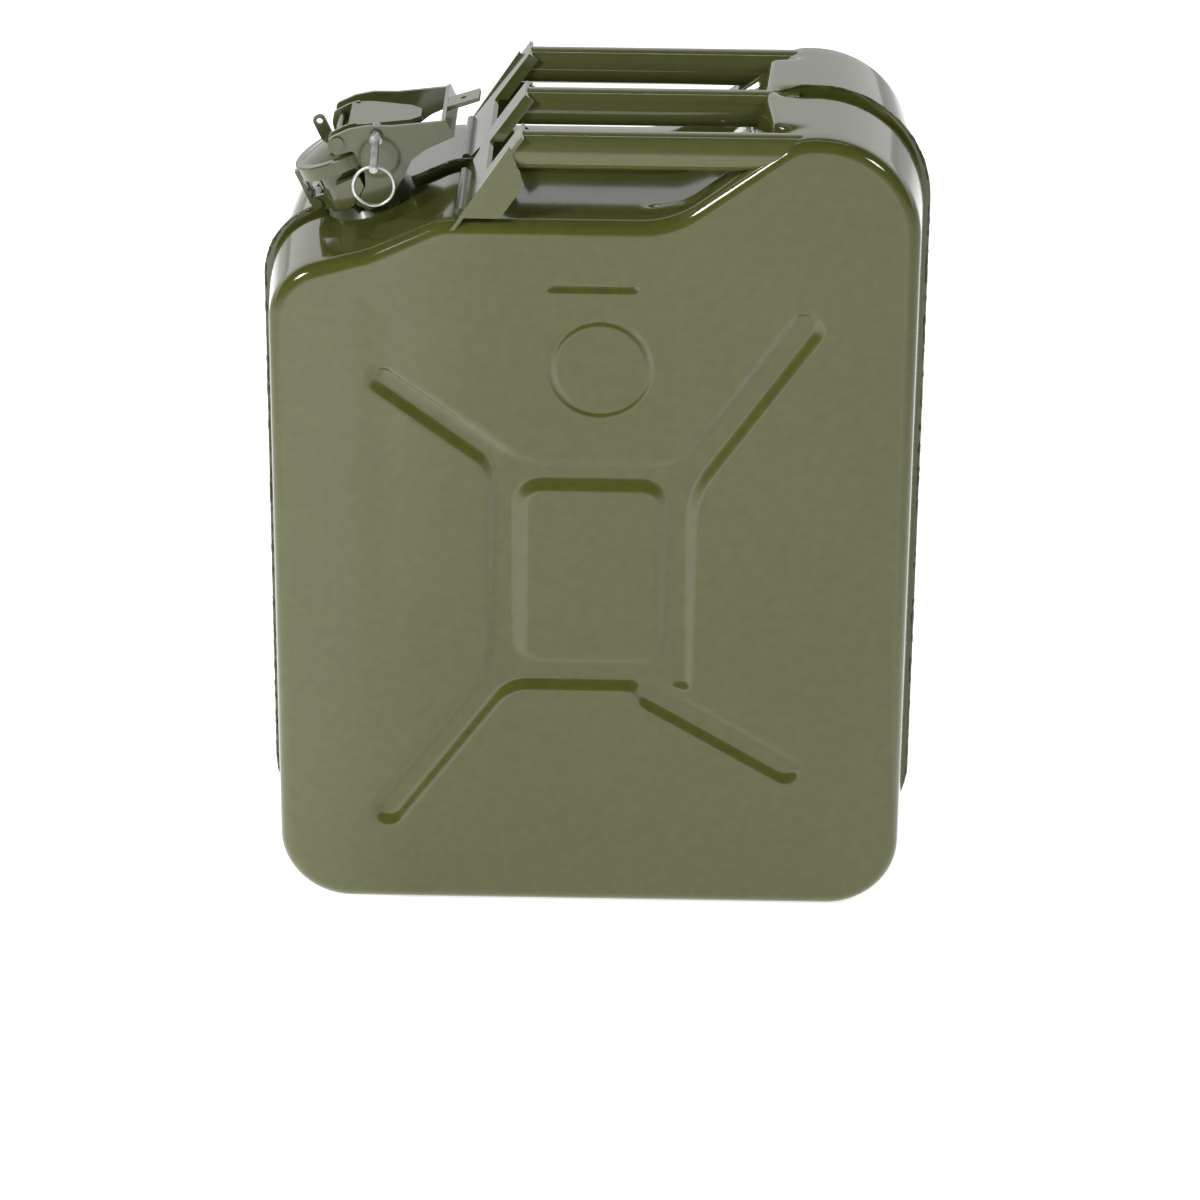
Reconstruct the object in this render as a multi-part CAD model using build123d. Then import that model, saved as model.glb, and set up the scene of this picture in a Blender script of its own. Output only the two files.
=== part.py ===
from build123d import *
import math
import os

# Twenty-litre steel jerry can. Millimetres, +Z up, origin at the middle of the base.
# X runs along the width with the filler neck at the -X end, Y through the thickness.

# ---- can body: two pressed halves welded along the mid-plane ----
SHEET = 1.0               # steel thickness
HALF_DEPTH = 81.0         # mid-plane to a flat side face
WALL_HALF_WIDTH = 176.4   # half width of the edge walls beside the seam groove
HUMP_TOP = 450.5          # top of the rear hump beside the seam groove
DISH_TOP = 406.5          # flat top under the handles
DRAFT_INSET = 5.4         # how far the edge walls draw in from the seam to the side face
FACE_ROUND = 12.0         # radius between edge wall and side face
FLANGE_PROUD = 4.1        # weld flange beyond the edge walls
GROOVE_DEEP = 6.0         # seam groove below the edge walls
GROOVE_HALF = 8.0         # half width of the seam groove
SEAM_HALF = 1.6           # half width and depth of the weld bead on the flange's tip
EMBOSS_DEEP = 3.0
FLANGE_THICK = 1.0        # each half's share of the weld flange
BASE_CORNER = 44.0
REAR_CORNER = 60.0
PANEL_EDGE_Y = 68.0       # the side panel's nodes lie beyond this, and the edge walls within it
WALL_SPLIT_Z = 343.0      # below the shoulder: parts the lower edge walls from the upper

# ---- shoulder and filler neck ----
SHOULDER = 25.0           # slope of the shoulder, which the neck stands square to
BROW_SLOPE = 13.0         # flatter slope ahead of the shoulder's kink
CREST_SLOPE = 36.0        # slope from the dish up to the rear hump
LID_CENTRE = (-136.2, 418.0)  # x and z of the centre of the lid's rim
NECK_R = 21.5
NECK_BORE = 20.0
NECK_TOP = -6.5           # heights in the neck's own frame, measured from the lid rim
NECK_BOTTOM = -47.0
LIP_R = 23.5
LIP_TOP = -4.2

# ---- carrying handles ----
HANDLE_R = 10.0
HANDLE_WALL = 1.5
HANDLE_Z = 440.4
HANDLE_Y = (-69.5, 0.0, 69.5)
HANDLE_FRONT = -38.0
HANDLE_REAR = 108.0
POCKET_HALF = 56.0        # half width of the hand pocket between the outer handles
POCKET_WALL_X = 94.0
BRACKET_SHEET = 2.0
BRACKET_FOOT = (-78.0, 394.8)   # x and z where the sloped sheet starts, inside the can's top
BRACKET_HALF = 80.5
LEG_HALF = 12.0
LEG_SPLIT_Z = 424.0       # the sheet divides into three legs above this height

# ---- lid and lever closure, in the neck's frame: u rearward, w outward ----
LID_R = 28.5
LID_SHEET = 1.3
LID_SKIRT = -7.2
LID_LEDGE = -0.8
LID_DOME = 4.5
HINGE = (-25.2, -22.0)    # lid hinge pin, u and w
HINGE_PIN_R = 1.75
KNUCKLE_R = 3.2
KNUCKLE_HALF = 8.0
SEAM_PASS = 2.6           # half width of the strap's slot, which clears the seam when open
PIVOT = (3.5, 9.5)        # lever pivot pin, u and w
PIVOT_PIN_R = 2.0
RUNNING_GAP = 0.05        # radial clearance of pins in their holes
ARM_INNER = 27.3
ARM_THICK = 2.5
LOCK_HOLE = (24.4, 5.4)   # lock pin through the near arm, u and w
LOCK_PIN_R = 2.2
LOCK_PIN_DROOP = 23.0     # the loose pin hangs down at this angle
LOCK_PIN_OUT = 28.0       # length outside the arm
RING_R = 10.8
RING_WIRE_R = 0.9

NECK_FRAME = Plane(
    origin=(LID_CENTRE[0], 0, LID_CENTRE[1]),
    x_dir=(math.cos(math.radians(SHOULDER)), 0, math.sin(math.radians(SHOULDER))),
    z_dir=(-math.sin(math.radians(SHOULDER)), 0, math.cos(math.radians(SHOULDER))),
)


def save(shape, node):
    export_step(shape, f"parts/{node}.step")


def on_neck(shape):
    """Move a shape drawn in the neck's frame to where the neck stands."""
    return NECK_FRAME.location * shape


def neck_point(u, y, w):
    """A point given in the neck's frame, as a vector in the can's frame."""
    return NECK_FRAME.from_local_coords(Vector(u, y, w))


def plate(points, radii, y_low, y_high):
    """A flat plate drawn in the X-Z plane, with rounded corners, between two y values."""
    corners = [Vector(x, z) for x, z in points]
    flat = Plane.XZ.offset(-y_high) * make_face(Polyline(*corners, close=True))
    for (x, z), radius in zip(points, radii):
        if radius:
            at = [v for v in flat.vertices() if abs(v.X - x) + abs(v.Z - z) < 1e-3]
            flat = fillet(at, radius)
    return extrude(flat, y_high - y_low, dir=(0, -1, 0))


def rod(start, end, radius):
    """A round bar between two points."""
    line = Vector(*end) - Vector(*start)
    return Plane(origin=start, z_dir=line) * Cylinder(
        radius, line.length, align=(Align.CENTER, Align.CENTER, Align.MIN)
    )


def ring(outer, inner, low, high):
    """A plain ring about the Z axis."""
    at = Pos(0, 0, low)
    middle = (Align.CENTER, Align.CENTER, Align.MIN)
    return at * (Cylinder(outer, high - low, align=middle) - Cylinder(inner, high - low, align=middle))


# ---------------------------------------------------------------- can body

def body_outline(inset, base, y, draft=0.0):
    """The can's edge outline at one depth, drawn in by inset, with its base at a height.

    The draft is the part of inset that comes from the walls' lean. The top has none at the
    hump and the shoulder, and less at the dish.
    """
    side = WALL_HALF_WIDTH - inset
    skin = inset - draft
    top = HUMP_TOP - skin
    dish = DISH_TOP - skin - 0.6 * draft
    slope = math.tan(math.radians(SHOULDER))
    crest_slope = math.tan(math.radians(CREST_SLOPE))
    kink = (-119.0 + 0.2 * inset, 386.0 - skin)
    brow = (kink[0] + (dish - kink[1]) / slope, dish)
    front = (-side, kink[1] - (kink[0] + side) * math.tan(math.radians(BROW_SLOPE + 0.55 * draft)))
    dip = (39.0 + 0.3 * inset, dish)
    crest = (dip[0] + (top - dish) / crest_slope, top)
    points = [(-side, base), front, kink, brow, dip, crest, (side, top), (side, base)]
    radii = [BASE_CORNER - inset, 38 - inset, 60, 25, 50, 45 - inset - 2 * draft,
             REAR_CORNER - inset, BASE_CORNER - inset]
    flat = Plane.XZ.offset(-y) * make_face(Polyline(*[Vector(*p) for p in points], close=True))
    for (x, z), radius in zip(points, radii):
        at = [v for v in flat.vertices() if abs(v.X - x) + abs(v.Z - z) < 1e-3]
        flat = fillet(at, radius)
    return flat


def half_solid(skin):
    """A solid half of the can, -Y side, drawn in by skin all round."""
    wall = loft([
        body_outline(skin, skin, -GROOVE_HALF),
        body_outline(DRAFT_INSET + skin, skin, -HALF_DEPTH + skin, DRAFT_INSET),
    ], ruled=True)
    rim = wall.faces().sort_by(Axis.Y)[0].edges()
    wall = fillet(rim, FACE_ROUND - skin)
    groove = loft([
        body_outline(skin, skin, -GROOVE_HALF),
        body_outline(GROOVE_DEEP + skin, GROOVE_DEEP + skin, -FLANGE_THICK),
    ], ruled=True)
    return wall + groove


def hand_pocket(skin):
    """The hollow under the handles whose steep rear wall leaves room for the fingers."""
    low = DISH_TOP
    points = [(34, low - skin), (74 + skin, low + 5 - skin), (POCKET_WALL_X - 6 + skin, 428),
              (POCKET_WALL_X + skin, 446), (POCKET_WALL_X + skin, 470), (34, 470)]
    return plate(points, [0, 12, 12, 0, 0, 0], -POCKET_HALF - skin, POCKET_HALF + skin)


def stroke(start, end, radius):
    """A round-ended bar on the side face, for one arm of the pressed cross."""
    run = Vector(*end) - Vector(*start)
    turn = math.degrees(math.atan2(run.Y, run.X))
    middle = ((start[0] + end[0]) / 2, (start[1] + end[1]) / 2)
    return Pos(*middle) * Rot(0, 0, turn) * SlotCenterToCenter(run.length, 2 * radius)


def pressed_cross(grow):
    """The X pressed into a side face, with the raised panel in its middle."""
    flat = Pos(0, 201) * Rectangle(114 + 2 * grow, 138 + 2 * grow)
    flat += stroke((-111, 314), (-40, 262), 9 + grow)
    flat += stroke((112, 346), (35, 236), 11 + grow)
    flat += stroke((-111, 57), (-42, 150), 10 + grow)
    flat += stroke((108, 86), (34, 130), 10 + grow)
    middle = Pos(0, 202) * RectangleRounded(84 - 2 * grow, 112 - 2 * grow, 14 - grow)
    return flat - middle


def capacity_ring(grow):
    """The round border pressed above the cross, left empty."""
    return Pos(4, 322.5) * (Circle(27.5 + grow) - Circle(24.5 - grow))


def embossing(skin):
    """What the press pushes into the -Y side face."""
    face = Plane.XZ.offset(HALF_DEPTH - EMBOSS_DEEP - skin)
    bar = Pos(0, 367) * Rectangle(47 + 2 * skin, 3 + 2 * skin)
    marks = pressed_cross(skin) + capacity_ring(0.4 * skin) + bar
    return extrude(face * marks, EMBOSS_DEEP + 5)


def half_shell():
    """The pressed -Y half with its groove, weld flange, pocket and embossing."""
    flange = extrude(body_outline(-FLANGE_PROUD, 1.0, -FLANGE_THICK), FLANGE_THICK, dir=(0, 1, 0))
    outer = half_solid(0) + flange - hand_pocket(0) - embossing(0)
    mouth = extrude(body_outline(GROOVE_DEEP + SHEET, GROOVE_DEEP + SHEET, -1.5), 3.0, dir=(0, 1, 0))
    inner = half_solid(SHEET) + mouth - hand_pocket(SHEET) - embossing(SHEET)
    return outer, outer - inner


def seam_bead():
    """The weld bead run along the tip of the flange, both sides and top."""
    wide = 2 * SEAM_HALF
    beyond = extrude(body_outline(-FLANGE_PROUD, 1.0, -SEAM_HALF), wide, dir=(0, 1, 0))
    within = extrude(body_outline(-FLANGE_PROUD + SEAM_HALF, 1.0 + SEAM_HALF, -SEAM_HALF), wide, dir=(0, 1, 0))
    flange = extrude(body_outline(-FLANGE_PROUD, 1.0, -FLANGE_THICK), 2 * FLANGE_THICK, dir=(0, 1, 0))
    return beyond - within - flange


# ---------------------------------------------------------------- handles

def bracket_sheet_edge(thick):
    """Side view of the bracket's sloped sheet, given its thickness."""
    top = Vector(HANDLE_FRONT, HANDLE_Z + HANDLE_R)
    foot = Vector(*BRACKET_FOOT)
    run = (top - foot).normalized()
    back = Vector(run.Y, -run.X) * thick
    return [(p.X, p.Y) for p in (foot, top, top + back, foot + back)]


def handle_bar(y):
    """One tubular carrying handle along X, cut off square to the bracket's sheet in front."""
    ahead = HANDLE_FRONT - 20
    outside = rod((ahead, y, HANDLE_Z), (HANDLE_REAR, y, HANDLE_Z), HANDLE_R)
    inside = rod((ahead, y, HANDLE_Z), (HANDLE_REAR, y, HANDLE_Z), HANDLE_R - HANDLE_WALL)
    foot, top, top_back, foot_back = bracket_sheet_edge(BRACKET_SHEET)
    in_front = [foot_back, top_back, (HANDLE_FRONT, 470), (-120, 470), (-120, foot[1])]
    return outside - inside - plate(in_front, [0] * 5, -90, 90)


def front_bracket():
    """The pressed plate that carries the handles' front ends: three legs on one foot."""
    sheet = plate(bracket_sheet_edge(BRACKET_SHEET), [0] * 4, -BRACKET_HALF, BRACKET_HALF)
    above = [(-120, LEG_SPLIT_Z), (0, LEG_SPLIT_Z), (0, 470), (-120, 470)]
    inner_edge = HANDLE_Y[2] - LEG_HALF
    for low, high in ((-inner_edge, -LEG_HALF), (LEG_HALF, inner_edge)):
        sheet -= plate(above, [0] * 4, low, high)
    notch = Polyline((-9, 380), (9, 380), (9, 404), (2.5, 416), (-2.5, 416), (-9, 404), close=True)
    sheet -= extrude(Plane.YZ * make_face(notch), 120, both=True)
    strips = [(BRACKET_HALF - BRACKET_SHEET, BRACKET_HALF)]
    strips += [(inner_edge, inner_edge + BRACKET_SHEET), (LEG_HALF - BRACKET_SHEET, LEG_HALF)]
    strips += [(-high, -low) for low, high in strips]
    slim = bracket_sheet_edge(6.0)
    outer_flange = [(-70.5, 405.5), (-44, 445), (-36, 424), (-49, 405.5)]
    for low, high in strips:
        if high == BRACKET_HALF or low == -BRACKET_HALF:
            sheet += plate(outer_flange, [0] * 4, low, high)
        else:
            sheet += plate(slim, [0] * 4, low, high) & plate(above, [0] * 4, low, high)
    return sheet


def bracket_weld():
    """The weld bead along the front of the bracket's foot."""
    x, z = BRACKET_FOOT[0] + 7.6, DISH_TOP
    beads = rod((x, -74, z), (x, -11, z), 2.4) + rod((x, 11, z), (x, 74, z), 2.4)
    return beads


# ---------------------------------------------------------------- filler neck

def filler_neck():
    return on_neck(ring(NECK_R, NECK_BORE, NECK_BOTTOM, NECK_TOP))


def mouth_lip():
    """The rolled lip that the gasket seals on."""
    profile = Polyline((NECK_BORE, NECK_TOP), (NECK_R, NECK_TOP), (NECK_R, -8.4), (LIP_R, -8.4),
                       (LIP_R, LIP_TOP), (NECK_BORE, LIP_TOP), close=True)
    lip = revolve(Plane.XZ * make_face(profile), Axis.Z)
    return on_neck(lip)


def neck_collar(can):
    """The weld collar round the foot of the neck."""
    profile = Polyline((NECK_R, -43), (NECK_R, -28), (NECK_R + 1.5, -29), (NECK_R + 6, -36),
                       (NECK_R + 6, -43), close=True)
    return on_neck(revolve(Plane.XZ * make_face(profile), Axis.Z)) - can


def hinge_ears():
    """Two ears on the front of the neck that hold the lid's hinge pin."""
    u, w = HINGE
    shape = [(u + 8, w - 6), (u + 8, w + 3), (u, w + 3.8), (u - 3.8, w), (u - 3.2, w - 3.2), (u, w - 4.6)]
    ears = [plate(shape, [0, 0, 1.8, 1.8, 1, 1.5], low, low + 3)
            for low in (-KNUCKLE_HALF - 3.4, KNUCKLE_HALF + 0.4)]
    ears = ears[0] + ears[1]
    ears -= rod((u, -20, w), (u, 20, w), HINGE_PIN_R)
    return on_neck(ears - Cylinder(NECK_R, 200))


def latch_lug(side):
    """The sloped nose on one flank of the neck that a lever claw pulls against."""
    nose = [(-9, -11.5), (6.0, -11.5), (6.0, -18.0), (-3.5, -25.5), (-9, -25.5)]
    body = plate(nose, [2, 2, 1, 1, 2], 0, ARM_INNER + ARM_THICK + 0.5)
    if side < 0:
        body = mirror(body, Plane.XZ)
    return on_neck(body - Cylinder(NECK_R, 200))


# ---------------------------------------------------------------- lid

def domed_disc(radius, base, top, dome_radius, dome_height):
    """A disc whose top carries a shallow spherical dome."""
    ball = (dome_radius ** 2 + dome_height ** 2) / (2 * dome_height)
    dome = Pos(0, 0, top + dome_height - ball) * Sphere(ball)
    dome &= Pos(0, 0, top) * Cylinder(radius, 2 * dome_height, align=(Align.CENTER, Align.CENTER, Align.MIN))
    disc = Pos(0, 0, base) * Cylinder(radius, top - base, align=(Align.CENTER, Align.CENTER, Align.MIN))
    return disc + dome


def lid_envelope():
    """The lid's outside, filled: what stands on the lid is cut off at this surface."""
    disc = domed_disc(LID_R, LID_SKIRT, LID_DOME - 4.0, 24.0, 4.0)
    shoulder = disc.edges().filter_by(GeomType.CIRCLE).filter_by(lambda e: abs(e.radius - LID_R) < 0.1)
    return fillet(shoulder.sort_by(Axis.Z)[-1], 0.8)


def lid_cap():
    """The pressed round lid: a domed top and a skirt over the mouth."""
    return lid_envelope() - domed_disc(LID_R - LID_SHEET, LID_SKIRT, LID_LEDGE, 22.5, 4.0)


def hinge_strap(lid):
    """The strap from the lid's skirt down to the knuckle on the hinge pin."""
    u, w = HINGE
    back = u - KNUCKLE_R
    strap = plate([(back - 1, w), (back + 1, w), (back + 1, -2), (back - 1, -2)], [0] * 4,
                  -KNUCKLE_HALF, KNUCKLE_HALF)
    strap -= plate([(back - 3, w - 1), (back + 3, w - 1), (back + 3, 0), (back - 3, 0)], [0] * 4,
                   -SEAM_PASS, SEAM_PASS)
    strap += rod((u, -KNUCKLE_HALF, w), (u, KNUCKLE_HALF, w), KNUCKLE_R)
    strap -= rod((u, -20, w), (u, 20, w), HINGE_PIN_R + RUNNING_GAP)
    return strap - lid


def lid_saddle(lid):
    """The raised tongue and ears on the lid that carry the lever's pivot."""
    u, w = PIVOT
    ear = [(-6, -3), (-4, w - 2), (u - 4, w + 3.5), (u + 5, w + 4), (15, w + 3.2), (16, -3)]
    ears = plate(ear, [0, 2, 3, 3, 1, 0], -19, -17) + plate(ear, [0, 2, 3, 3, 1, 0], 17, 19)
    tongue = plate([(11, w + 4), (24, 8.2), (46, -1.8), (46, -3.8), (24, 6.2), (11, w + 2)],
                   [0, 8, 0, 0, 8, 0], -19, 19)
    plan = Polyline((0, -19), (20, -19), (41, -12), (46, -6), (46, 6), (41, 12), (20, 19), (0, 19), close=True)
    tongue &= extrude(make_face(plan), 40, both=True)
    ears -= rod((u, -40, w), (u, 40, w), PIVOT_PIN_R)
    return ears + tongue - lid


def lid_lug(lid):
    """The small upright lug with a hole, for a seal wire, at the far side of the lid."""
    lug = plate([(-14, -3), (-14, 14), (-7, 14), (-7, -3)], [0, 3, 3, 0], 20, 22)
    lug -= rod((-10.5, 10, 10.5), (-10.5, 30, 10.5), 1.6)
    return lug - lid


def stop_tab(lid):
    """The small rounded tab on the lid just ahead of the saddle."""
    face = Plane.YZ.offset(7.5) * make_face(Polyline((-9, 0), (-9, 9), (-3, 9), (-3, 0), close=True))
    tab = extrude(face, 1.6)
    return tab - lid


def gasket():
    """The flat rubber ring pressed up against the ledge inside the lid."""
    return ring(LID_R - LID_SHEET - 0.1, 15.0, -4.0, LID_LEDGE)


# ---------------------------------------------------------------- lever

def lever_arm(y_low, y_high):
    """One side plate of the lever, from the pivot to the bridge, with its hooked claw."""
    arm = [(-2.5, 7.5), (0.5, 13.6), (12, 13.8), (22, 11.5), (34, 6.0), (61, -3.0), (60, -12.8),
           (45, -12.9), (35.5, -15.2), (30.0, -20.0), (16.0, -30.5), (3.0, -31.5),
           (-2.6, -25.6), (6.8, -18.1), (9.4, -12.0), (9.4, 2.2), (0.0, 3.6)]
    radii = [2, 3, 6, 8, 6, 0, 2, 10, 6, 6, 5, 1.2, 0.8, 1.0, 2, 2, 2]
    return plate(arm, radii, y_low, y_high)


def lock_axis():
    droop = math.radians(LOCK_PIN_DROOP)
    return Vector(0, -math.cos(droop), -math.sin(droop))


def lock_start():
    return neck_point(LOCK_HOLE[0], -ARM_INNER - ARM_THICK, LOCK_HOLE[1])


def locking_lever():
    """The U-shaped over-centre lever with its finger tab."""
    near = lever_arm(-ARM_INNER - ARM_THICK, -ARM_INNER)
    far = lever_arm(ARM_INNER, ARM_INNER + ARM_THICK)
    bridge = plate([(59, -12.8), (61.5, -12.8), (61.5, -2.0), (59, -2.0)], [0] * 4,
                   -ARM_INNER - ARM_THICK, ARM_INNER + ARM_THICK)
    tab = plate([(59, -4.5), (59, -2.0), (79, -4.6), (78.6, -6.6)], [0] * 4, -8, 8)
    tab -= rod((70, 0, -20), (70, 0, 20), 1.6)
    lever = near + far + bridge + tab
    u, w = PIVOT
    lever -= rod((u, -40, w), (u, 40, w), PIVOT_PIN_R + RUNNING_GAP)
    lever = on_neck(lever)
    start = lock_start()
    hole = rod(start - lock_axis() * 12, start + lock_axis() * 8, LOCK_PIN_R + 0.12)
    return lever - hole


def lock_pin():
    """The loose locking pin: a round bar with a collar and a cross hole for its ring."""
    start = lock_start()
    axis = lock_axis()
    pin = rod(start - axis * 7.5, start + axis * LOCK_PIN_OUT, LOCK_PIN_R)
    pin += rod(start + axis * 2.2, start + axis * 4.7, LOCK_PIN_R + 1.3)
    eye = ring_eye()
    return pin - rod(eye - Vector(10, 0, 0), eye + Vector(10, 0, 0), RING_WIRE_R + 0.45)


def ring_eye():
    return lock_start() + lock_axis() * (LOCK_PIN_OUT - 3.0)


def lock_ring():
    """The split ring hanging through the eye of the locking pin."""
    centre = ring_eye() - Vector(0, 0, RING_R)
    return Plane(origin=centre, z_dir=(0, -1, 0)) * Torus(RING_R, RING_WIRE_R)


def breather_pipe():
    """The thin pipe that lets air from under the hump to the inner end of the neck."""
    y = 18.0
    route = FilletPolyline((-99, y, 383.5), (-68, y, 398.5), (104, y, 398.5), (112, y, 434), radius=12)
    start = Plane(origin=route @ 0, z_dir=route % 0)
    return sweep(start * (Circle(3.5) - Circle(2.7)), path=route)


def pin_with_heads(radius, head, half, at):
    """A pin along Y through a point in the neck's frame, with a flat head at each end."""
    u, w = at
    pin = rod((u, -half, w), (u, half, w), radius)
    pin += rod((u, -half - 1.4, w), (u, -half, w), head)
    pin += rod((u, half, w), (u, half + 1.4, w), head)
    return on_neck(pin)


def half_nodes(side, half):
    """One pressed half as three nodes: its side panel and its lower and upper edge walls."""
    far = 2 * HALF_DEPTH
    inner = Box(1000, 2 * PANEL_EDGE_Y, 2000)
    low = Pos(0, 0, WALL_SPLIT_Z - 500) * Box(1000, far, 1000)
    walls = half & inner
    return {
        f"{side}_side_panel": half - inner,
        f"{side}_lower_wall": walls & low,
        f"{side}_upper_wall": walls - low,
    }


def body_nodes():
    """The welded can: shells, seam, handles, neck and the parts fixed to them."""
    outer_left, left = half_shell()
    can = outer_left + mirror(outer_left, Plane.XZ)
    neck_hole = on_neck(Cylinder(NECK_R, 100))
    left -= neck_hole
    bracket = front_bracket() - can
    bars = [handle_bar(y) - can - bracket for y in HANDLE_Y]
    collar = neck_collar(can)
    pipe_hole = on_neck(Cylinder(NECK_R, 200))
    seam = seam_bead() - pipe_hole - collar
    for piece in bars + [bracket]:
        seam -= piece
    ears = hinge_ears() - can - collar
    lug = latch_lug(1) - can - collar
    return {
        **half_nodes("left", left),
        **half_nodes("right", mirror(left, Plane.XZ)),
        "seam_weld": seam,
        "handle_bar_left": bars[0],
        "handle_bar_middle": bars[1],
        "handle_bar_right": bars[2],
        "handle_front_bracket": bracket,
        "bracket_weld": bracket_weld() - can - bracket,
        "filler_neck": filler_neck(),
        "mouth_lip": mouth_lip(),
        "neck_weld_collar": collar,
        "hinge_ears": ears,
        "latch_lug_right": lug,
        "latch_lug_left": mirror(lug, Plane.XZ),
        "lid_hinge_pin": pin_with_heads(HINGE_PIN_R, HINGE_PIN_R + 1.2, KNUCKLE_HALF + 3.4, HINGE),
        "breather_pipe": breather_pipe(),
    }


def closure_nodes():
    """The lid, the lever and the loose locking pin with its ring."""
    lid = lid_envelope()
    arm_outside = ARM_INNER + ARM_THICK + 0.2
    return {
        "lid_cap": on_neck(lid_cap()),
        "lid_gasket": on_neck(gasket()),
        "lid_hinge_strap": on_neck(hinge_strap(lid)),
        "lid_saddle": on_neck(lid_saddle(lid)),
        "lid_seal_lug": on_neck(lid_lug(lid)),
        "lid_stop_tab": on_neck(stop_tab(lid)),
        "lever_pivot_pin": pin_with_heads(PIVOT_PIN_R, PIVOT_PIN_R + 1.5, arm_outside, PIVOT),
        "locking_lever": locking_lever(),
        "lock_pin": lock_pin(),
        "lock_pin_ring": lock_ring(),
    }


def main():
    os.makedirs("parts", exist_ok=True)
    for node, shape in {**body_nodes(), **closure_nodes()}.items():
        save(shape, node)


if __name__ == "__main__":
    main()
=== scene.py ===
import math

import bmesh
import bpy
import numpy as np
from mathutils import Matrix, Vector, noise
from mathutils.geometry import delaunay_2d_cdt


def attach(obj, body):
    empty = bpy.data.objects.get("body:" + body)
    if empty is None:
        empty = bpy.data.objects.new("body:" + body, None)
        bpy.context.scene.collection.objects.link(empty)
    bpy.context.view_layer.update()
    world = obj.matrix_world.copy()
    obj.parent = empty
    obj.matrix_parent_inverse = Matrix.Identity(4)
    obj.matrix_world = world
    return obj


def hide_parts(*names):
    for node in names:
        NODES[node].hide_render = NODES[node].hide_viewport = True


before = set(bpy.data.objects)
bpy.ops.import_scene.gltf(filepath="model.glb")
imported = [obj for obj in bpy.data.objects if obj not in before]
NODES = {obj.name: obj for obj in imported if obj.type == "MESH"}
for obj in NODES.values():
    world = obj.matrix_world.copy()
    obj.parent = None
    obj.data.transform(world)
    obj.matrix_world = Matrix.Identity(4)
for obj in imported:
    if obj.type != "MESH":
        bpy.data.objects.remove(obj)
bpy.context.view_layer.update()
MM = 0.001

# ---------------------------------------------------------------- sizes, in millimetres
WALL_HALF_WIDTH = 176.4
HUMP_TOP = 450.5
DISH_TOP = 406.5
HALF_DEPTH = 81.0
FACE_ROUND = 8.0
DRAFT_INSET = 5.4
GROOVE_HALF = 8.0
GROOVE_DEEP = 6.0
SHEET = 1.0
SLOPE = 25.0              # of the shoulder, which the neck stands square to
BROW_SLOPE = 13.0         # of the flatter top ahead of the shoulder's kink
CREST_SLOPE = 36.0        # from the dish up to the rear hump
BASE_CORNER = 44.0
FRONT_CORNER = 38.0
REAR_CORNER = 60.0
CREST_ROUND = 45.0
LID_CENTRE = Vector((-136.2, 0.0, 418.0))
NECK_AXIS = Vector((-math.sin(math.radians(SLOPE)), 0, math.cos(math.radians(SLOPE))))
NECK_HOLE = 22.6          # shell faces nearer than this to the neck's axis are left out
NECK_FOOT = -60.0         # along the neck's axis, from the lid: nothing below it is cut
SEAM_GAP = 22.5           # the weld bead stops this far from the neck's axis

# what is pressed into the side faces: (start, end, radius) of each arm of the cross
CROSS_ARMS = (((-111, 314), (-40, 262), 9), ((112, 346), (35, 236), 11),
              ((-111, 57), (-42, 150), 10), ((108, 86), (34, 130), 10))
CROSS_DEEP = 3.0
CROSS_FLANK = 5.6
PANEL_FLANK = 7.5
RING_CENTRE = (4.0, 322.5)
RING_RADIUS = 26.0
RING_DEEP = 0.9
BAR_ENDS = ((-22, 367), (22, 367))
BAR_DEEP = 1.5


def smooth(t):
    """0 to 1 with a level start and end."""
    t = np.clip(t, 0.0, 1.0)
    return t * t * (3 - 2 * t)


# ---------------------------------------------------------------- mesh helpers

def make_piece(name, verts, faces, body, material, smooth_angle=35, replaces=()):
    """A mesh object from millimetre points, riding on a body."""
    mesh = bpy.data.meshes.new(name)
    mesh.from_pydata([tuple(c * MM for c in v) for v in verts], [], faces)
    bm = bmesh.new()
    bm.from_mesh(mesh)
    bmesh.ops.remove_doubles(bm, verts=bm.verts, dist=1e-6)
    bmesh.ops.recalc_face_normals(bm, faces=bm.faces)
    bm.to_mesh(mesh)
    bm.free()
    piece = bpy.data.objects.new(name, mesh)
    bpy.context.scene.collection.objects.link(piece)
    mesh.materials.append(material)
    shade(piece, smooth_angle)
    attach(piece, body)
    if replaces:
        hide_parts(*replaces)
    return piece


def shade(piece, angle):
    """Smooth shading with edges sharper than the angle kept crisp."""
    mesh = piece.data
    mesh.polygons.foreach_set("use_smooth", [True] * len(mesh.polygons))
    if angle < 180:
        mesh.set_sharp_from_angle(angle=math.radians(angle))


def soften(piece, width):
    """Rounded edges by a bevel modifier, width in millimetres."""
    bevel = piece.modifiers.new("edges", "BEVEL")
    bevel.width = width * MM
    bevel.segments = 3
    bevel.limit_method = "ANGLE"
    bevel.angle_limit = math.radians(30)
    bevel.harden_normals = False
    bevel.miter_outer = "MITER_ARC"


# ---------------------------------------------------------------- can outline

ARC_STEPS = [14, 14, 8, 8, 16, 16, 22, 14]
LINE_STEPS = [20, 12, 18, 24, 18, 2, 22, 18]
POCKET_FIRST, POCKET_LAST = 4, 5      # the corners between which the hand pocket lies


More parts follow.
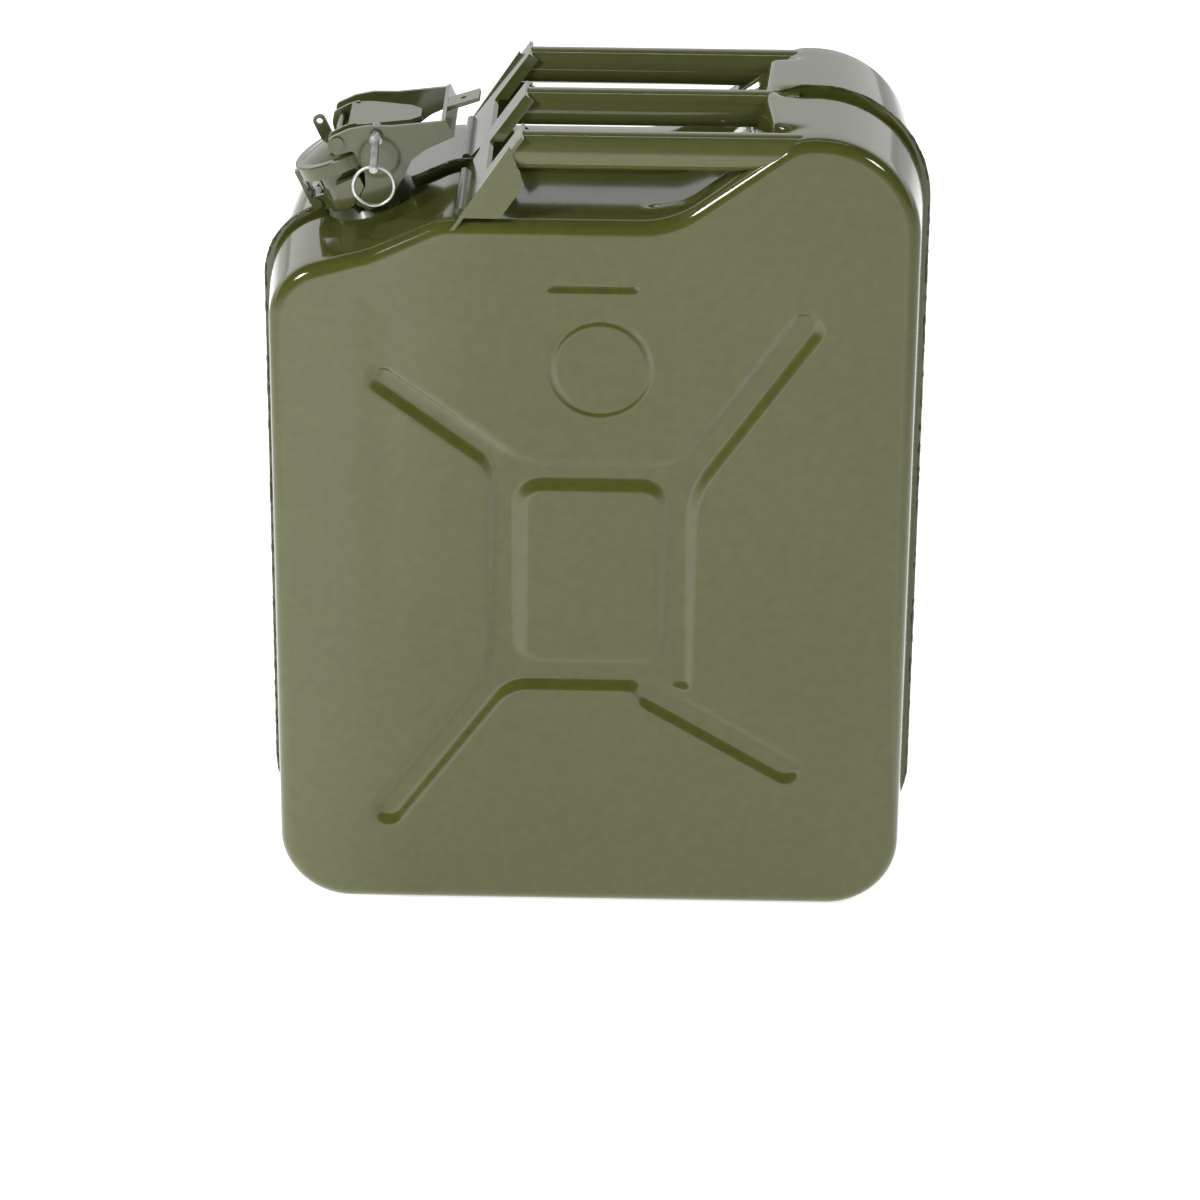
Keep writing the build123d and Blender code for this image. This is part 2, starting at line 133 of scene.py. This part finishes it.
def rounded(points, radii, arc_steps, line_steps, closed=True):
    """Points along a polygon with rounded corners; the same count whatever the radii."""
    points = [Vector(p) for p in points]
    out, starts = [], []
    n = len(points)
    corners = []
    for i, p in enumerate(points):
        if not closed and i in (0, n - 1):
            corners.append([p])
            continue
        a, b = points[i - 1], points[(i + 1) % n]
        to_a, to_b = (a - p).normalized(), (b - p).normalized()
        half = to_a.angle(to_b) / 2
        reach = radii[i] / math.tan(half)
        centre = p + (to_a + to_b).normalized() * (radii[i] / math.sin(half))
        begin, end = p + to_a * reach - centre, p + to_b * reach - centre
        turn = begin.angle(end)
        arc = []
        for k in range(arc_steps[i] + 1):
            t = k / arc_steps[i]
            swung = begin * math.sin((1 - t) * turn) + end * math.sin(t * turn)
            arc.append(centre + swung / math.sin(turn))
        corners.append(arc)
    for i, arc in enumerate(corners):
        starts.append(len(out))
        out += arc
        if closed or i < n - 1:
            nxt = corners[(i + 1) % n][0]
            steps = line_steps[i]
            out += [arc[-1].lerp(nxt, k / steps) for k in range(1, steps)]
    return out, starts


def outline(inset, base, pocket=0.0, draft=0.0):
    """The can's edge outline drawn in by inset, of which draft is the walls' lean.

    Pocket, from 0 to 1, sinks the hand pocket into its top.
    """
    skin = inset - draft
    side, top, dish = WALL_HALF_WIDTH - inset, HUMP_TOP - skin, DISH_TOP - skin - 0.6 * draft
    slope = math.tan(math.radians(SLOPE))
    kink = (-119.0 + 0.2 * inset, 386.0 - skin)
    brow = (kink[0] + (dish - kink[1]) / slope, dish)
    front = (-side, kink[1] - (kink[0] + side) * math.tan(math.radians(BROW_SLOPE + 0.55 * draft)))
    dip = (39.0 + 0.3 * inset, dish)
    crest = (dip[0] + (top - dish) / math.tan(math.radians(CREST_SLOPE)), top)
    points = [(-side, base), front, kink, brow, dip, crest, (side, top), (side, base)]
    radii = [BASE_CORNER - inset, FRONT_CORNER - inset, 60, 25, 50, max(CREST_ROUND - inset - 2 * draft, 12),
             REAR_CORNER - inset, BASE_CORNER - inset]
    path, starts = rounded(points, radii, ARC_STEPS, LINE_STEPS)
    if pocket > 0:
        first = starts[POCKET_FIRST]
        last = starts[POCKET_LAST] + ARC_STEPS[POCKET_LAST]
        a, b = path[first], path[last]
        sunk = [a, (40, dish), (68 + 0.6 * inset, dish + 4.5), (84 + inset, 428 - 0.6 * inset),
                (90.5 + inset, top), b]
        smooth_path, _ = rounded(sunk, [0, 60, 14, 25, max(5.0 - inset, 2.5), 0],
                                 [1, 6, 12, 10, 10, 1], [14, 14, 10, 10, 10], closed=False)
        lengths = np.concatenate([[0], np.cumsum([(smooth_path[i + 1] - smooth_path[i]).length
                                                  for i in range(len(smooth_path) - 1)])])
        xs = [p[0] for p in smooth_path]
        zs = [p[1] for p in smooth_path]
        for k in range(first, last + 1):
            t = (k - first) / (last - first) * lengths[-1]
            goal = Vector((np.interp(t, lengths, xs), np.interp(t, lengths, zs)))
            path[k] = path[k].lerp(goal, pocket)
    return path


# ---------------------------------------------------------------- pressed side face

def round_box(x, z, half_x, half_z, radius):
    """Distance outside a rectangle with rounded corners about the origin."""
    dx, dz = np.abs(x) - half_x + radius, np.abs(z) - half_z + radius
    return np.hypot(np.maximum(dx, 0), np.maximum(dz, 0)) + np.minimum(np.maximum(dx, dz), 0) - radius


def bar(x, z, start, end, radius):
    """Distance outside a round-ended bar."""
    (ax, az), (bx, bz) = start, end
    run = (bx - ax) ** 2 + (bz - az) ** 2
    t = np.clip(((x - ax) * (bx - ax) + (z - az) * (bz - az)) / run, 0, 1)
    return np.hypot(x - ax - t * (bx - ax), z - az - t * (bz - az)) - radius


def join(a, b, width):
    """The union of two distance fields with a rounded inner corner."""
    h = np.clip(0.5 + 0.5 * (b - a) / width, 0, 1)
    return b + (a - b) * h - width * h * (1 - h)


def ramp_up(t, soft=0.24):
    """From 0 to 1 with a straight flank and rounded ends, as a press leaves it."""
    t = np.clip(t, 0.0, 1.0)
    k = 1 / (1 - soft)
    start, middle, end = k * t * t / (2 * soft), k * (t - soft / 2), 1 - k * (1 - t) ** 2 / (2 * soft)
    return np.where(t < soft, start, np.where(t > 1 - soft, end, middle))


def face_depth(x, z):
    """How far the press pushes the side face in, in millimetres."""
    cross = round_box(x, z - 201, 57, 69, 5)
    for start, end, radius in CROSS_ARMS:
        cross = join(cross, bar(x, z, start, end, radius), 9.0)
    panel = round_box(x, z - 202, 42, 56, 15)
    cut = CROSS_DEEP * ramp_up((-cross - 0.3) / CROSS_FLANK)
    cut = np.minimum(cut, CROSS_DEEP * ramp_up((panel + PANEL_FLANK) / PANEL_FLANK))
    ring = np.abs(np.hypot(x - RING_CENTRE[0], z - RING_CENTRE[1]) - RING_RADIUS)
    line = bar(x, z, *BAR_ENDS, 0.0)
    cut = np.maximum(cut, RING_DEEP * (1 - smooth(ring / 2.6)))
    cut = np.maximum(cut, BAR_DEEP * (1 - smooth(line / 2.4)))
    bow = 0.16 * (1 + np.sin(x / 47 + 0.6) * np.cos(z / 83 + 0.4)) + 0.1 * (1 + np.sin(x / 23 - z / 61))
    edge = smooth((np.minimum(132 - np.abs(x), np.minimum(z - 30, 372 - z))) / 25)
    return cut + bow * edge


def inside(polygon, x, z):
    """Which points lie inside a closed polygon."""
    px = np.array([p[0] for p in polygon])
    pz = np.array([p[1] for p in polygon])
    qx, qz = np.roll(px, -1), np.roll(pz, -1)
    hit = np.zeros(x.shape, bool)
    for ax, az, bx, bz in zip(px, pz, qx, qz):
        if az == bz:
            continue
        across = (az > z) != (bz > z)
        hit ^= across & (x < (bx - ax) * (z - az) / (bz - az) + ax)
    return hit


def bend(a, b, c, steps):
    """Points round the corner b, from a to c."""
    a, b, c = (np.array(p, float) for p in (a, b, c))
    ts = np.linspace(0, 1, steps + 1)
    return [tuple((1 - t) ** 2 * a + 2 * t * (1 - t) * b + t * t * c) for t in ts]


def wall_rows():
    """The section across the edge, from the weld flange to the face: inset, base and depth."""
    def wall(depth):
        return (DRAFT_INSET * (depth - GROOVE_HALF) / (HALF_DEPTH - GROOVE_HALF), 0.0, depth)

    def groove(t):
        return (GROOVE_DEEP * (1 - t), GROOVE_DEEP * (1 - t), 1 + 7 * t)

    def draft(depth):
        return DRAFT_INSET * max(0.0, depth - GROOVE_HALF) / (HALF_DEPTH - GROOVE_HALF)

    rows = [(-3.7, 1.4, 0.1)]
    rows += bend((-3.7, 1.4, 0.5), (-3.7, 1.4, 1.0), (-3.1, 1.7, 1.0), 2)
    rows += [(-1.0, 2.6, 1.0), (1.5, 3.8, 1.0)]
    rows += bend((3.8, 4.9, 1.0), (6.0, 6.0, 1.0), groove(0.3), 5)
    rows += [groove(0.5)]
    rows += bend(groove(0.68), groove(1.0), wall(11.0), 5)
    rows += [wall(d) for d in np.arange(13.0, 31.0, 2.2)]
    rows += [wall(d) for d in (34.5, 39, 43.5, 47.5)]
    rows += [wall(d) for d in np.arange(50.0, 63.0, 1.4)]
    rows += [wall(65.5)]
    lean = math.atan(DRAFT_INSET / (HALF_DEPTH - GROOVE_HALF))
    centre = wall(HALF_DEPTH - FACE_ROUND)[0] + FACE_ROUND / math.cos(lean)
    for phi in np.linspace(lean, math.pi / 2, 11):
        rows.append((centre - FACE_ROUND * math.cos(phi), FACE_ROUND * (1 - math.cos(phi)),
                     HALF_DEPTH - FACE_ROUND + FACE_ROUND * math.sin(phi)))
    rows.append((centre + 2.0, FACE_ROUND + 2.0, HALF_DEPTH))
    return [(inset, base, depth, draft(depth)) for inset, base, depth in rows]


def seam_buried(p):
    """1 where the seam is ground flush, at the front of the hump, and 0 elsewhere."""
    if p[1] < DISH_TOP - 3:
        return 0.0
    return float(smooth((p[0] - 44) / 16) * (1 - smooth((p[0] - 94) / 16)))


def off_neck(p):
    """How far a point is from the neck's axis, and how far up along it from the lid."""
    c = p - LID_CENTRE
    up = c.dot(NECK_AXIS)
    return (c - NECK_AXIS * up).length, up


def pocket_share(depth):
    """1 inside the hand pocket, falling to 0 across its side wall."""
    return float(1 - smooth((depth - 51.5) / 7.5))


def half_shell():
    """Vertices and faces of one pressed half, for the -Y side."""
    verts, faces = [], []
    rows = wall_rows()
    for inset, base, depth, draft in rows:
        line = outline(inset, base, pocket_share(depth), draft)
        if depth < GROOVE_HALF + 3:
            flush = outline(0.0, 0.0, pocket_share(depth), 0.0)
            line = [p.lerp(f, seam_buried(f)) for p, f in zip(line, flush)]
        verts += [(p[0], -depth, p[1]) for p in line]
    columns = len(verts) // len(rows)
    for r in range(len(rows) - 1):
        for c in range(columns):
            d = (c + 1) % columns
            faces.append((r * columns + c, r * columns + d, (r + 1) * columns + d, (r + 1) * columns + c))
    rim = [(len(rows) - 1) * columns + c for c in range(columns)]
    rim_path = [(verts[i][0], verts[i][2]) for i in rim]
    xs = np.concatenate([np.arange(-132, -27, 2.1), np.arange(-27, 33, 1.0), np.arange(33, 133, 2.1)])
    zs = np.concatenate([np.arange(30, 293, 2.1), np.arange(293, 373, 1.0)])
    gx, gz = np.meshgrid(xs, zs)
    safe, _ = rounded([(-154, 18), (-154, 356), (-112, 366), (-70, 384), (152, 384), (152, 18)],
                      [20, 10, 10, 10, 20, 20], [4] * 6, [1] * 6)
    ok = inside(safe, gx, gz)
    cell = ok[:-1, :-1] & ok[1:, :-1] & ok[:-1, 1:] & ok[1:, 1:]
    depth = HALF_DEPTH - face_depth(gx, gz)
    index = -np.ones(gx.shape, int)
    used = np.zeros(gx.shape, bool)
    for a, b in ((0, 0), (1, 0), (0, 1), (1, 1)):
        used[a:gx.shape[0] - 1 + a, b:gx.shape[1] - 1 + b] |= cell
    for i, j in zip(*np.nonzero(used)):
        index[i, j] = len(verts)
        verts.append((gx[i, j], -depth[i, j], gz[i, j]))
    sides = {}
    for i, j in zip(*np.nonzero(cell)):
        quad = (index[i, j], index[i, j + 1], index[i + 1, j + 1], index[i + 1, j])
        faces.append(quad)
        for k in range(4):
            key = tuple(sorted((quad[k], quad[(k + 1) % 4])))
            sides[key] = sides.get(key, 0) + 1
    border = [key for key, count in sides.items() if count == 1]
    ids = rim + sorted({i for key in border for i in key})
    place = {v: k for k, v in enumerate(ids)}
    points = [Vector((verts[i][0], verts[i][2])) for i in ids]
    edges = [(k, (k + 1) % len(rim)) for k in range(len(rim))] + [(place[a], place[b]) for a, b in border]
    _, _, tris, originals, _, _ = delaunay_2d_cdt(points, edges, [], 0, 1e-5)
    for tri in tris:
        corner = [points[originals[k][0]] for k in tri]
        x, z = sum(p[0] for p in corner) / len(corner), sum(p[1] for p in corner) / len(corner)
        if not inside(rim_path, np.array([x]), np.array([z]))[0]:
            continue
        i, j = np.searchsorted(zs, z) - 1, np.searchsorted(xs, x) - 1
        if 0 <= i < cell.shape[0] and 0 <= j < cell.shape[1] and cell[i, j]:
            continue
        faces.append(tuple(ids[originals[k][0]] for k in tri))
    keep = []
    for face in faces:
        away, up = off_neck(sum((Vector(verts[i]) for i in face), Vector()) / len(face))
        if away > NECK_HOLE or up < NECK_FOOT:
            keep.append(face)
    return verts, keep


# ---------------------------------------------------------------- materials

def new_material(name):
    """A material, its node tree and its surface shader."""
    material = bpy.data.materials.new(name)
    material.use_nodes = True
    tree = material.node_tree
    return material, tree, tree.nodes["Principled BSDF"]


def node(tree, kind, **values):
    """A new node; each value sets the input of that name, or else the property."""
    made = tree.nodes.new(kind)
    for key, value in values.items():
        if key in made.inputs:
            made.inputs[key].default_value = value
        else:
            setattr(made, key, value)
    return made


def noise_node(tree, coords, scale, detail=3.0, rough=0.5):
    """The value of a noise texture."""
    made = node(tree, "ShaderNodeTexNoise", Scale=scale, Detail=detail, Roughness=rough)
    tree.links.new(coords, made.inputs["Vector"])
    return made.outputs["Fac"]


def ramp(tree, source, stops):
    """A colour ramp over a value, from (position, colour) stops."""
    made = node(tree, "ShaderNodeValToRGB")
    elements = made.color_ramp.elements
    while len(elements) < len(stops):
        elements.new(0.5)
    for element, (at, colour) in zip(elements, stops):
        element.position = at
        element.color = (*colour, 1.0)
    tree.links.new(source, made.inputs["Fac"])
    return made.outputs["Color"]


def remap(tree, source, low, high, to_low, to_high):
    """A value carried from one range to another."""
    made = node(tree, "ShaderNodeMapRange")
    for key, value in zip(("From Min", "From Max", "To Min", "To Max"), (low, high, to_low, to_high)):
        made.inputs[key].default_value = value
    tree.links.new(source, made.inputs["Value"])
    return made.outputs["Result"]


def add_bump(tree, shader, layers):
    """Bump layers (height, strength, distance in mm), one on another."""
    last = None
    for height, strength, distance in layers:
        made = node(tree, "ShaderNodeBump", Strength=strength, Distance=distance * MM)
        tree.links.new(height, made.inputs["Height"])
        if last:
            tree.links.new(last, made.inputs["Normal"])
        last = made.outputs["Normal"]
    tree.links.new(last, shader.inputs["Normal"])


def olive_paint(name, base, dark, gloss, peel):
    """Glossy enamel: mottled olive, orange peel, a little dust in the gloss and worn edges."""
    material, tree, shader = new_material(name)
    coords = node(tree, "ShaderNodeTexCoord").outputs["Object"]
    cloud = noise_node(tree, coords, 9.0, 4.0)
    fine = noise_node(tree, coords, 160.0, 3.0)
    colour = ramp(tree, cloud, [(0.3, dark), (0.7, base)])
    speck = ramp(tree, fine, [(0.35, (0.93, 0.93, 0.93)), (0.65, (1.05, 1.05, 1.05))])
    tint = node(tree, "ShaderNodeMix", data_type="RGBA", blend_type="MULTIPLY")
    tint.inputs[0].default_value = 1.0
    tree.links.new(colour, tint.inputs[6])
    tree.links.new(speck, tint.inputs[7])
    point = node(tree, "ShaderNodeNewGeometry").outputs["Pointiness"]
    worn = remap(tree, point, 0.53, 0.62, 0.0, 0.35)
    edge = node(tree, "ShaderNodeMix", data_type="RGBA", blend_type="MIX")
    tree.links.new(worn, edge.inputs[0])
    tree.links.new(tint.outputs[2], edge.inputs[6])
    edge.inputs[7].default_value = (0.16, 0.17, 0.08, 1)
    tree.links.new(edge.outputs[2], shader.inputs["Base Color"])
    film = noise_node(tree, coords, 22.0, 5.0)
    tree.links.new(remap(tree, film, 0.3, 0.7, gloss * 0.8, gloss * 1.35), shader.inputs["Roughness"])
    shader.inputs["Specular IOR Level"].default_value = 0.5
    shader.inputs["Coat Weight"].default_value = 0.35
    shader.inputs["Coat Roughness"].default_value = 0.05
    add_bump(tree, shader, [(noise_node(tree, coords, 60.0, 2.0), 0.5, 0.02),
                            (noise_node(tree, coords, 620.0, 2.0), peel, 0.03)])
    return material


def metal(name, colour, rough, scratch):
    """Bright plated or drawn metal with fine grain and duller patches."""
    material, tree, shader = new_material(name)
    coords = node(tree, "ShaderNodeTexCoord").outputs["Object"]
    patch = noise_node(tree, coords, 180.0, 4.0)
    dull = tuple(c * 0.72 for c in colour)
    tree.links.new(ramp(tree, patch, [(0.35, dull), (0.62, colour)]), shader.inputs["Base Color"])
    shader.inputs["Metallic"].default_value = 1.0
    tree.links.new(remap(tree, patch, 0.3, 0.7, rough * 1.4, rough * 0.8), shader.inputs["Roughness"])
    add_bump(tree, shader, [(noise_node(tree, coords, 1400.0, 2.0), scratch, 0.02)])
    return material


def rubber(name):
    """Matt black rubber with a fine grain."""
    material, tree, shader = new_material(name)
    coords = node(tree, "ShaderNodeTexCoord").outputs["Object"]
    grain = noise_node(tree, coords, 500.0, 5.0)
    tree.links.new(ramp(tree, grain, [(0.3, (0.012, 0.012, 0.012)), (0.7, (0.035, 0.034, 0.033))]),
                   shader.inputs["Base Color"])
    tree.links.new(remap(tree, grain, 0.3, 0.7, 0.55, 0.8), shader.inputs["Roughness"])
    add_bump(tree, shader, [(grain, 0.4, 0.05)])
    return material


BODY = olive_paint("olive_enamel", (0.098, 0.107, 0.022), (0.088, 0.097, 0.018), 0.10, 0.12)
CLOSURE = olive_paint("olive_enamel_closure", (0.090, 0.100, 0.030), (0.070, 0.080, 0.022), 0.15, 0.35)
# The weld enamel is darker than the body's: painted shade for the seam flange and weld fillets, which look
# dark from shadow and dark reflections.
WELD_SHADED = olive_paint("olive_enamel_weld_shaded", (0.062, 0.070, 0.018), (0.024, 0.028, 0.008), 0.24, 0.6)
ZINC = metal("zinc_plate", (0.86, 0.86, 0.84), 0.36, 0.1)
STEEL = metal("drawn_steel", (0.5, 0.5, 0.5), 0.35, 0.4)
RUBBER = rubber("moulded_rubber")

# ---------------------------------------------------------------- can body

def weld_run(path, radius_side, radius_out, seed, lump):
    """Vertices and faces of a lumpy weld bead along (point, outward, across) frames."""
    verts, faces = [], []
    around = 10
    for p, out, across in path:
        for a in range(around):
            turn = 2 * math.pi * a / around
            at = p + out * math.cos(turn) * radius_out + across * math.sin(turn) * radius_side
            rough = noise.noise(at * 0.22 + Vector((seed, 0, 0)))
            rough += 0.6 * noise.noise(at * 0.7 + Vector((0, seed, 0)))
            scale = 1.0 - lump * (0.5 + 0.5 * max(-1.0, min(1.0, rough * 1.6)))
            verts.append(tuple(p + (at - p) * scale))
    last = (len(path) - 1) * around
    for k in range(0, last, around):
        for a in range(around):
            b = (a + 1) % around
            faces.append((k + a, k + b, k + around + b, k + around + a))
    faces.append(tuple(range(around)))
    faces.append(tuple(last + a for a in reversed(range(around))))
    return verts, faces


def resample(path, step):
    """Evenly spaced points round a closed path of (x, z) pairs."""
    pts = [Vector(p) for p in path] + [Vector(path[0])]
    lengths = np.concatenate([[0], np.cumsum([(b - a).length for a, b in zip(pts, pts[1:])])])
    at = np.linspace(0, lengths[-1], int(lengths[-1] / step) + 1)[:-1]
    xs, zs = ([p[axis] for p in pts] for axis in (0, 1))
    return [(float(np.interp(t, lengths, xs)), float(np.interp(t, lengths, zs))) for t in at]


def seam_frames():
    """Frames (point, outward, across) along the flange's tip, from one side of the neck to the other."""
    line = [p.lerp(f, seam_buried(f)) for p, f in zip(outline(-3.0, 2.0, 1.0), outline(0.6, 0.6, 1.0))]
    path = resample(line, 1.6)
    across = Vector((0, 1, 0))
    found, near_neck = [], []
    for k, (x, z) in enumerate(path):
        ahead, behind = path[(k + 1) % len(path)], path[k - 1]
        run = Vector((ahead[0] - behind[0], 0, ahead[1] - behind[1])).normalized()
        point = Vector((x, 0, z))
        found.append((point, -run.cross(across), across))
        away, up = off_neck(point)
        near_neck.append(away < SEAM_GAP and up > NECK_FOOT)
    first = next(k for k in range(len(found)) if near_neck[k - 1] and not near_neck[k])
    found, hidden = found[first:] + found[:first], near_neck[first:] + near_neck[:first]
    return found[:hidden.index(True)]


shell_verts, shell_faces = half_shell()
for side, sign in (("left", 1), ("right", -1)):
    piece = make_piece(
        f"{side}_pressed_half", [(x, sign * y, z) for x, y, z in shell_verts], shell_faces,
        "can", BODY, 50,
        [f"{side}_side_panel", f"{side}_lower_wall", f"{side}_upper_wall"])
    skin = piece.modifiers.new("sheet", "SOLIDIFY")
    skin.thickness = SHEET * MM
    skin.offset = -1.0        # inward
    skin.use_even_offset = False

bead_verts, bead_faces = weld_run(seam_frames(), 1.55, 1.05, 4.1, 0.55)
make_piece("seam_bead", bead_verts, bead_faces, "can", WELD_SHADED, 180, ["seam_weld"])

PAINTED = {
    BODY: ("handle_bar_left", "handle_bar_middle", "handle_bar_right", "filler_neck", "mouth_lip",
           "handle_front_bracket", "hinge_ears", "latch_lug_left", "latch_lug_right", "lid_hinge_pin"),
    CLOSURE: ("lid_cap", "lid_hinge_strap", "lid_saddle", "lid_seal_lug", "lid_stop_tab",
              "lever_pivot_pin", "locking_lever"),
    WELD_SHADED: ("bracket_weld", "neck_weld_collar"),
    STEEL: ("breather_pipe",),
    RUBBER: ("lid_gasket",),
    ZINC: ("lock_pin", "lock_pin_ring"),
}
for material, names in PAINTED.items():
    for name in names:
        NODES[name].data.materials.clear()
        NODES[name].data.materials.append(material)
EDGE_ROUND = 0.35
for name in ("handle_front_bracket", "hinge_ears", "latch_lug_left", "latch_lug_right", "lid_saddle",
             "lid_seal_lug", "lid_stop_tab", "locking_lever", "lid_cap", "lid_hinge_strap"):
    soften(NODES[name], EDGE_ROUND)

# ---------------------------------------------------------------- floor, light and camera

def stage():
    """A white paper floor that glows as painted light: brightest to the left and behind, dimmer in front of
    the can, fading out far to the sides.
    """
    floor_mesh = bpy.data.meshes.new("studio_floor")
    half, steps = 6.0, 24
    ticks = [-half + 2 * half * i / steps for i in range(steps + 1)]
    grid = [(x, y, 0.0) for y in ticks for x in ticks]
    row = steps + 1
    quads = [(j * row + i, j * row + i + 1, (j + 1) * row + i + 1, (j + 1) * row + i)
             for j in range(steps) for i in range(steps)]
    floor_mesh.from_pydata(grid, [], quads)
    floor = bpy.data.objects.new("studio_floor", floor_mesh)
    bpy.context.scene.collection.objects.link(floor)
    material, tree, shader = new_material("studio_paper")
    coords = node(tree, "ShaderNodeTexCoord").outputs["Object"]
    paper = ramp(tree, noise_node(tree, coords, 300.0), [(0.3, (0.93,) * 3), (0.7, (0.95,) * 3)])
    tree.links.new(paper, shader.inputs["Base Color"])
    shader.inputs["Roughness"].default_value = 0.9
    shader.inputs["Specular IOR Level"].default_value = 0.1
    shader.inputs["Emission Color"].default_value = (1, 1, 1, 1)
    # The floor's emission is painted light: a glow, brighter to the left of the can, that lights it and
    # shows in its reflections.
    split = node(tree, "ShaderNodeSeparateXYZ")
    tree.links.new(coords, split.inputs[0])
    beside = node(tree, "ShaderNodeMath", operation="ABSOLUTE")
    tree.links.new(split.outputs["X"], beside.inputs[0])
    outside = node(tree, "ShaderNodeMath", operation="MAXIMUM")
    tree.links.new(remap(tree, beside.outputs[0], 0.25, 0.33, 0.75, 1.0), outside.inputs[0])
    tree.links.new(remap(tree, split.outputs["Y"], 0.0, 0.12, 0.75, 1.0), outside.inputs[1])
    glow = node(tree, "ShaderNodeMath", operation="MAXIMUM")
    tree.links.new(remap(tree, split.outputs["X"], -0.17, -0.10, 1.3, 0.75), glow.inputs[0])
    tree.links.new(outside.outputs[0], glow.inputs[1])
    dimmed = node(tree, "ShaderNodeMath", operation="MULTIPLY")
    tree.links.new(glow.outputs[0], dimmed.inputs[0])
    tree.links.new(remap(tree, beside.outputs[0], 0.36, 0.95, 1.0, 0.35), dimmed.inputs[1])
    tree.links.new(dimmed.outputs[0], shader.inputs["Emission Strength"])
    floor_mesh.materials.append(material)


def surroundings():
    """A white room behind and below, dark overhead towards the camera."""
    world = bpy.data.worlds.new("studio")
    bpy.context.scene.world = world
    world.use_nodes = True
    tree = world.node_tree
    tree.nodes.clear()
    direction = node(tree, "ShaderNodeTexCoord").outputs["Generated"]
    split = node(tree, "ShaderNodeSeparateXYZ")
    tree.links.new(direction, split.inputs[0])
    towards = node(tree, "ShaderNodeMath", operation="ARCTAN2")
    negated = node(tree, "ShaderNodeMath", operation="MULTIPLY")
    negated.inputs[1].default_value = -1.0
    tree.links.new(split.outputs["Y"], negated.inputs[0])
    tree.links.new(split.outputs["Z"], towards.inputs[0])
    tree.links.new(negated.outputs[0], towards.inputs[1])
    sweep = remap(tree, towards.outputs[0], 0.0, math.pi, 0.0, 1.0)
    greys = ((0.0, 0.5), (0.025, 0.16), (0.07, 0.05), (0.30, 0.05),
             (0.66, 0.04), (0.72, 0.25), (0.78, 0.80), (0.84, 1.0))
    level = ramp(tree, sweep, [(at, (grey,) * 3) for at, grey in greys])
    light = node(tree, "ShaderNodeBackground")
    light.inputs["Strength"].default_value = 1.05
    tree.links.new(level, light.inputs["Color"])
    plain = node(tree, "ShaderNodeBackground")
    plain.inputs["Color"].default_value = (1, 1, 1, 1)
    plain.inputs["Strength"].default_value = 1.0
    path = node(tree, "ShaderNodeLightPath")
    mix = node(tree, "ShaderNodeMixShader")
    tree.links.new(path.outputs["Is Camera Ray"], mix.inputs[0])
    tree.links.new(light.outputs[0], mix.inputs[1])
    tree.links.new(plain.outputs[0], mix.inputs[2])
    out = node(tree, "ShaderNodeOutputWorld")
    tree.links.new(mix.outputs[0], out.inputs[0])


def softbox(name, azimuth, elevation, distance, width, height, watts):
    """A rectangular lamp aimed at the can; azimuth 0 is the camera's side, positive to its right."""
    a, e = math.radians(azimuth), math.radians(elevation)
    aim = Vector((0, 0, 0.2))
    place = aim + Vector((math.sin(a) * math.cos(e), -math.cos(a) * math.cos(e), math.sin(e))) * distance
    data = bpy.data.lights.new(name, "AREA")
    data.shape = "RECTANGLE"
    data.size, data.size_y, data.energy = width, height, watts
    lamp = bpy.data.objects.new(name, data)
    bpy.context.scene.collection.objects.link(lamp)
    lamp.location = place
    lamp.rotation_euler = (aim - place).to_track_quat("-Z", "Y").to_euler()


def camera():
    """Stands where the picture was taken from: nearly square to the side face, 25 degrees up."""
    elevation, azimuth, roll = (math.radians(a) for a in (24.97, 0.85, 0.50))
    distance, target = 2.5612, Vector((0.00395, 0.0, 0.14945))
    back = Vector((math.sin(azimuth) * math.cos(elevation), -math.cos(azimuth) * math.cos(elevation),
                   math.sin(elevation)))
    right = Vector((math.cos(azimuth), math.sin(azimuth), 0))
    up = right.cross(-back)
    level = right * math.cos(roll) + up * math.sin(roll)
    rise = up * math.cos(roll) - right * math.sin(roll)
    data = bpy.data.cameras.new("camera")
    data.sensor_width = 36.0
    data.lens = 136.87
    eye = bpy.data.objects.new("camera", data)
    bpy.context.scene.collection.objects.link(eye)
    turn = Matrix((level, rise, back)).transposed().to_4x4()
    eye.matrix_world = Matrix.Translation(target + back * distance) @ turn
    bpy.context.scene.camera = eye


stage()
surroundings()
softbox("key_left", -52, 36, 2.8, 0.6, 0.6, 34)
softbox("key_right", 54, 36, 2.8, 0.5, 0.5, 15)
softbox("overhead_strip", 180, 76, 2.6, 2.4, 0.07, 4.5)
camera()
bpy.context.scene.view_settings.view_transform = "Standard"
